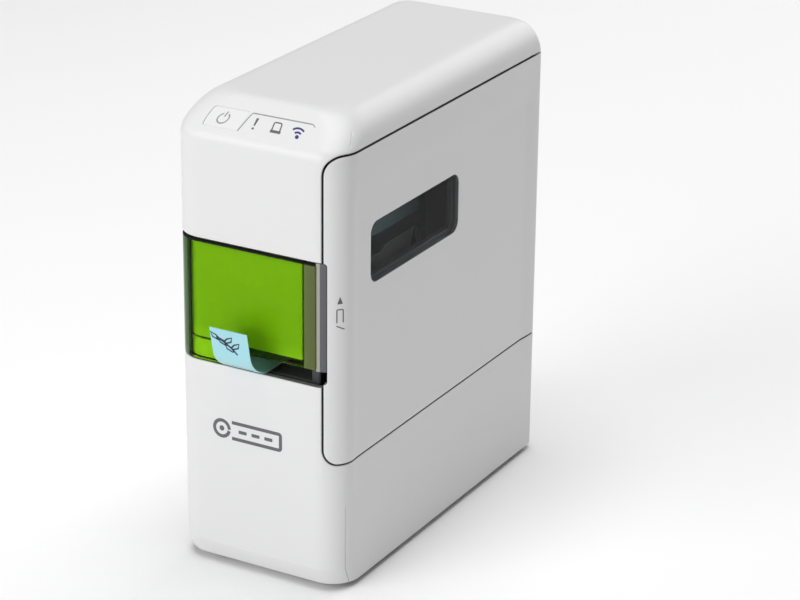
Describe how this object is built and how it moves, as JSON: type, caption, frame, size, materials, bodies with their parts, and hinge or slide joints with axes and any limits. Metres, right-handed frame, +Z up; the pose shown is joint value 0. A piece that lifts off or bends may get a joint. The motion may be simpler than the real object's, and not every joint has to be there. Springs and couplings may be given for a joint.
{
  "type": "label maker",
  "caption": "Tall white desktop label maker with a hinged cassette cover, smoked side window, green front window, sloped control band and a printed label curling out of its exit slot",
  "frame": {"origin": "on the table under the middle of the bounding box, the label's curl included", "axes": "+Z up, +X to the cover side (the object's right), -Y out of the front, where the label comes out"},
  "size_m": [0.054, 0.126, 0.137],
  "materials": {
    "white_plastic": "smooth satin-white moulded plastic",
    "key_plastic": "smooth white moulded plastic",
    "green_clear": "clear bright green, polished",
    "lime_plastic": "bright lime, satin",
    "smoked_clear": "clear smoked, polished",
    "dark_plastic": "fine matt texture",
    "grey_plastic": "fine matt texture",
    "gear_plastic": "moulded acetal, satin",
    "rubber": "matt",
    "steel": "bright plated",
    "aluminium": "satin",
    "brass": "machined",
    "board_green": "solder mask on glass fibre",
    "ceramic": "glazed",
    "cell_wrap": "printed film",
    "label_film": "smooth laminated film",
    "teal_print": "printed paper label",
    "light_guide": "clear, with a frosted face"
  },
  "bodies": {
    "body": {"main_housing": "white_plastic", "lower_hinge_pin": "steel", "upper_hinge_pin": "steel", "front_window": "green_clear", "window_backing": "lime_plastic", "tape_exit_guide": "dark_plastic", "corner_pillar": "dark_plastic", "indicator_light_guide": "light_guide", "key_board": "board_green", "base_plate": "white_plastic", "rubber_foot_front_left": "rubber", "rubber_foot_front_right": "rubber", "rubber_foot_back_left": "rubber", "rubber_foot_back_right": "rubber", "base_screw_left": "steel", "base_screw_right": "steel", "battery_holder": "grey_plastic", "cell_1_front": "cell_wrap", "cell_1_back": "cell_wrap", "cell_2_front": "cell_wrap", "cell_2_back": "cell_wrap", "cell_3_front": "cell_wrap", "cell_3_back": "cell_wrap", "battery_spring_contact": "steel", "battery_plate_contact": "steel", "main_board": "board_green", "dc_jack": "dark_plastic", "chassis": "dark_plastic", "feed_motor": "steel", "cassette_left_case": "grey_plastic", "cassette_right_case": "grey_plastic", "cassette_label": "teal_print", "tape_leader": "label_film", "label_tape": "label_film", "head_pivot_shaft": "steel", "head_spring": "steel", "cutter_frame": "steel", "fixed_blade": "steel", "cutter_motor": "steel"},
    "cover": {"tape_cover": "white_plastic", "cover_window": "smoked_clear", "cover_inner_frame": "dark_plastic", "cover_latch": "grey_plastic"},
    "key": {"power_key": "key_plastic"},
    "battery_door": {"battery_cover": "white_plastic"},
    "head": {"print_head": "ceramic", "head_carrier": "grey_plastic", "head_heatsink": "aluminium"},
    "platen": {"platen_roller": "rubber", "platen_shaft_gear": "steel"},
    "idler": {"idler_gear": "gear_plastic"},
    "reduction": {"reduction_gear": "gear_plastic"},
    "feed_pinion": {"motor_pinion": "brass"},
    "ribbon_drive": {"ribbon_gear": "gear_plastic", "ribbon_take_up_spool": "dark_plastic"},
    "ribbon_supply": {"ribbon_supply_spool": "dark_plastic"},
    "tape_supply": {"tape_roll": "label_film"},
    "cutter_crank": {"cutter_crank_gear": "gear_plastic"},
    "cutter_blade": {"moving_blade": "steel"},
    "cutter_drive": {"cutter_pinion": "brass"}
  },
  "joints": [
    {"name": "cover_hinge", "type": "hinge", "parent": "body", "child": "cover", "pos_m": [0.024, 0.06, 0.084], "axis": [0, 0, 1], "range_deg": [0, 100]},
    {"name": "power_key_press", "type": "slide", "parent": "body", "child": "key", "axis": [0, 0.6456, -0.7636], "range_m": [0, 0.0006], "stiffness_N_per_m": 500},
    {"name": "battery_cover_slide", "type": "slide", "parent": "body", "child": "battery_door", "axis": [0, 1, 0], "range_m": [0, 0.1]},
    {"name": "head_release", "type": "hinge", "parent": "body", "child": "head", "pos_m": [-0.00295, -0.01795, 0.0805], "axis": [1, 0, 0], "range_deg": [-5, 0], "deforming": ["head_spring"]},
    {"name": "platen_spin", "type": "hinge", "parent": "body", "child": "platen", "pos_m": [-0.00295, -0.0225, 0.0566], "axis": [1, 0, 0], "continuous": true},
    {"name": "idler_spin", "type": "hinge", "parent": "body", "child": "idler", "pos_m": [-0.0214, -0.00808, 0.0667], "axis": [1, 0, 0], "continuous": true},
    {"name": "reduction_spin", "type": "hinge", "parent": "body", "child": "reduction", "pos_m": [-0.0214, -0.00008, 0.05284], "axis": [1, 0, 0], "continuous": true},
    {"name": "feed_pinion_spin", "type": "hinge", "parent": "body", "child": "feed_pinion", "pos_m": [-0.0235, 0.00406, 0.03738], "axis": [1, 0, 0], "continuous": true},
    {"name": "ribbon_take_up_spin", "type": "hinge", "parent": "body", "child": "ribbon_drive", "pos_m": [-0.0214, 0.00662, 0.07904], "axis": [1, 0, 0], "continuous": true},
    {"name": "ribbon_supply_spin", "type": "hinge", "parent": "body", "child": "ribbon_supply", "pos_m": [-0.00295, 0.002, 0.101], "axis": [1, 0, 0], "continuous": true},
    {"name": "tape_roll_spin", "type": "hinge", "parent": "body", "child": "tape_supply", "pos_m": [-0.00295, 0.033, 0.082], "axis": [1, 0, 0], "continuous": true},
    {"name": "cutter_crank_turn", "type": "hinge", "parent": "body", "child": "cutter_crank", "pos_m": [0.009, -0.0346, 0.043], "axis": [0, 1, 0], "range_deg": [0, 90]},
    {"name": "cutter_blade_swing", "type": "hinge", "parent": "body", "child": "cutter_blade", "pos_m": [0.009, -0.0388, 0.061], "axis": [0, -1, 0], "range_deg": [0, 15]},
    {"name": "cutter_pinion_spin", "type": "hinge", "parent": "body", "child": "cutter_drive", "pos_m": [0.00017, -0.0346, 0.0379], "axis": [0, 1, 0], "range_deg": [-216, 0]}
  ],
  "couplings": [
    {"joint": "head_release", "follows": "cover_hinge", "ratio": -0.05},
    {"joint": "idler_spin", "follows": "platen_spin", "ratio": -0.57143},
    {"joint": "reduction_spin", "follows": "platen_spin", "ratio": 1.3333},
    {"joint": "feed_pinion_spin", "follows": "platen_spin", "ratio": -4},
    {"joint": "ribbon_take_up_spin", "follows": "platen_spin", "ratio": 0.8},
    {"joint": "ribbon_supply_spin", "follows": "platen_spin", "ratio": 0.8},
    {"joint": "tape_roll_spin", "follows": "platen_spin", "ratio": -0.30556},
    {"joint": "cutter_blade_swing", "follows": "cutter_crank_turn", "ratio": 0.16667},
    {"joint": "cutter_pinion_spin", "follows": "cutter_crank_turn", "ratio": -2.4}
  ]
}
